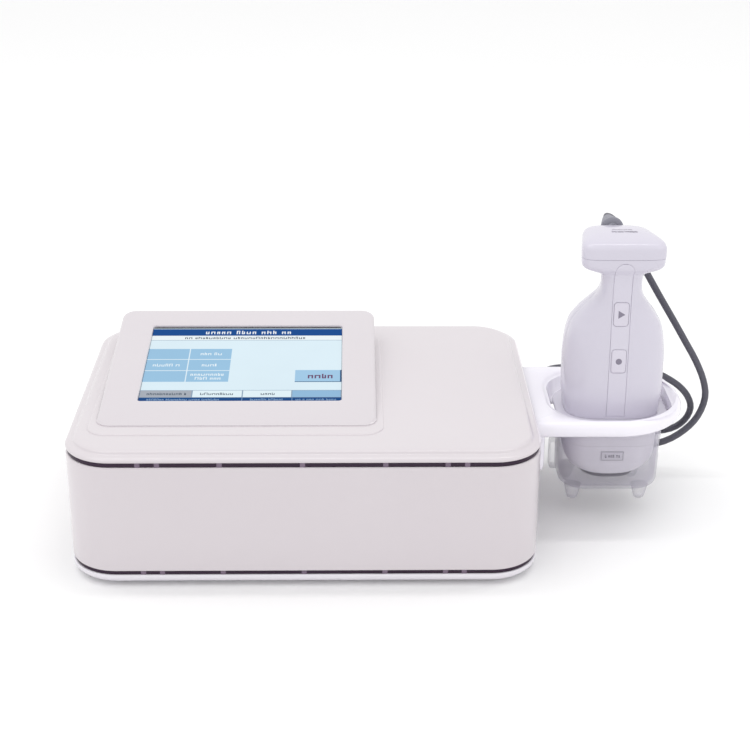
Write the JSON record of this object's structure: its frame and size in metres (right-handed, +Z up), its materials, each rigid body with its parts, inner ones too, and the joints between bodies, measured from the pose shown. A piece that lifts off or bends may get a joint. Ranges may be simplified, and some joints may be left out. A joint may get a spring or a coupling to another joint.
{
  "type": "ultrasound therapy device",
  "caption": "Desktop focused-ultrasound console with a tilted touch screen, a side holder ring and a cabled handpiece wearing a clear cap",
  "frame": {"origin": "on the table, under the middle of the box round the console, holder and handpiece", "axes": "+X to the console's right, towards the holder; +Y to the back; +Z up"},
  "size_m": [0.543, 0.3725, 0.2552],
  "materials": {
    "case_white": "fine satin moulded",
    "tray_white": "satin moulded",
    "trim_plum": "smoked, polished",
    "peg_pale": "translucent",
    "bezel_white": "satin",
    "glass": "polished",
    "lcd_metal": "satin",
    "board_green": "solder mask",
    "steel": "zinc plated",
    "aluminium": "anodised",
    "black_plastic": "moulded",
    "rocker_red": "moulded",
    "panel_grey": "powder coated",
    "brass": "polished",
    "chrome": "nickel plated",
    "rubber": "matt",
    "holder_white": "satin",
    "hand_white": "satin",
    "key_white": "satin",
    "boot_grey": "matt",
    "cord_grey": "matt",
    "cartridge_grey": "satin",
    "seal_dark": "matt",
    "film": "polished",
    "clear_cap": "polished clear plastic",
    "label": "printed",
    "ceramic": "ground",
    "strap": "woven"
  },
  "bodies": {
    "console": {"base_tray": "tray_white", "rubber_feet": "rubber", "lower_trim": "trim_plum", "upper_trim": "trim_plum", "seam_pegs": "peg_pale", "side_band": "case_white", "top_cover": "case_white", "screen_bezel": "bezel_white", "touch_glass": "glass", "screen_panel": "lcd_metal", "screen_board": "board_green", "chassis_plate": "steel", "case_screws": "steel", "power_supply": "aluminium", "main_board": "board_green", "driver_board": "board_green", "heat_sink": "aluminium", "fan_frame": "black_plastic", "fan_guard": "chrome", "rear_panel": "panel_grey", "power_inlet": "black_plastic", "inlet_pins": "brass", "switch_frame": "black_plastic", "handpiece_socket": "chrome", "socket_contacts": "brass", "holder": "holder_white", "holder_screws": "steel", "cord": "cord_grey", "plug_lead": "cord_grey", "cord_coil": "cord_grey", "coil_tie": "strap", "cable_plug": "black_plastic"},
    "fan_rotor": {"fan_rotor": "black_plastic"},
    "power_rocker": {"power_rocker": "rocker_red"},
    "fuse_drawer": {"fuse_drawer": "black_plastic"},
    "plug_ring": {"plug_ring": "chrome"},
    "handpiece": {"front_shell": "hand_white", "rear_shell": "hand_white", "head_cap": "hand_white", "key_panel": "hand_white", "key_board": "board_green", "cable_boot": "boot_grey", "rest_collar": "hand_white", "dock_plate": "cartridge_grey", "contact_block": "black_plastic", "scan_motor": "steel", "screw_bearing": "aluminium", "guide_rods": "steel"},
    "start_key": {"start_key": "key_white"},
    "work_key": {"work_key": "key_white"},
    "lead_screw": {"lead_screw": "steel"},
    "scan_carriage": {"scan_carriage": "label"},
    "cartridge": {"cartridge_shell": "cartridge_grey", "cartridge_lid": "cartridge_grey", "cartridge_rods": "steel", "seal_ring": "seal_dark", "window_film": "film", "depth_plate": "label"},
    "transducer": {"transducer": "ceramic"},
    "protective_cap": {"protective_cap": "clear_cap"}
  },
  "joints": [
    {"name": "handpiece_lift", "type": "slide", "parent": "console", "child": "handpiece", "axis": [0, 0, 1], "range_m": [0, 0.12]},
    {"name": "start_key_press", "type": "slide", "parent": "handpiece", "child": "start_key", "axis": [0, 1, 0], "range_m": [0, 0.001], "stiffness_N_per_m": 600, "springref_m": -0.0005},
    {"name": "work_key_press", "type": "slide", "parent": "handpiece", "child": "work_key", "axis": [0, 1, 0], "range_m": [0, 0.001], "stiffness_N_per_m": 600, "springref_m": -0.0005},
    {"name": "lead_screw_turn", "type": "hinge", "parent": "handpiece", "child": "lead_screw", "pos_m": [0.1925, -0.0015, 0.112], "axis": [1, 0, 0], "range_deg": [-1125, 1125]},
    {"name": "carriage_slide", "type": "slide", "parent": "handpiece", "child": "scan_carriage", "axis": [1, 0, 0], "range_m": [-0.0125, 0.0125]},
    {"name": "cartridge_release", "type": "slide", "parent": "handpiece", "child": "cartridge", "axis": [0, 0, -1], "range_m": [0, 0.03]},
    {"name": "transducer_scan", "type": "slide", "parent": "cartridge", "child": "transducer", "axis": [1, 0, 0], "range_m": [-0.0125, 0.0125]},
    {"name": "cap_pull", "type": "slide", "parent": "cartridge", "child": "protective_cap", "axis": [0, 0, -1], "range_m": [0, 0.05]},
    {"name": "fan_spin", "type": "hinge", "parent": "console", "child": "fan_rotor", "pos_m": [-0.0575, 0.1225, 0.059], "axis": [0, 1, 0], "continuous": true},
    {"name": "rocker_tilt", "type": "hinge", "parent": "console", "child": "power_rocker", "pos_m": [-0.1255, 0.1335, 0.056], "axis": [-1, 0, 0], "range_deg": [0, 18]},
    {"name": "fuse_drawer_pull", "type": "slide", "parent": "console", "child": "fuse_drawer", "axis": [0, 1, 0], "range_m": [0, 0.018]},
    {"name": "plug_ring_turn", "type": "hinge", "parent": "console", "child": "plug_ring", "pos_m": [0.0295, 0.1465, 0.06], "axis": [0, 1, 0], "range_deg": [0, 90]}
  ],
  "couplings": [
    {"joint": "carriage_slide", "follows": "transducer_scan", "ratio": 1},
    {"joint": "lead_screw_turn", "follows": "transducer_scan", "rad_per_m": 1570.7}
  ]
}
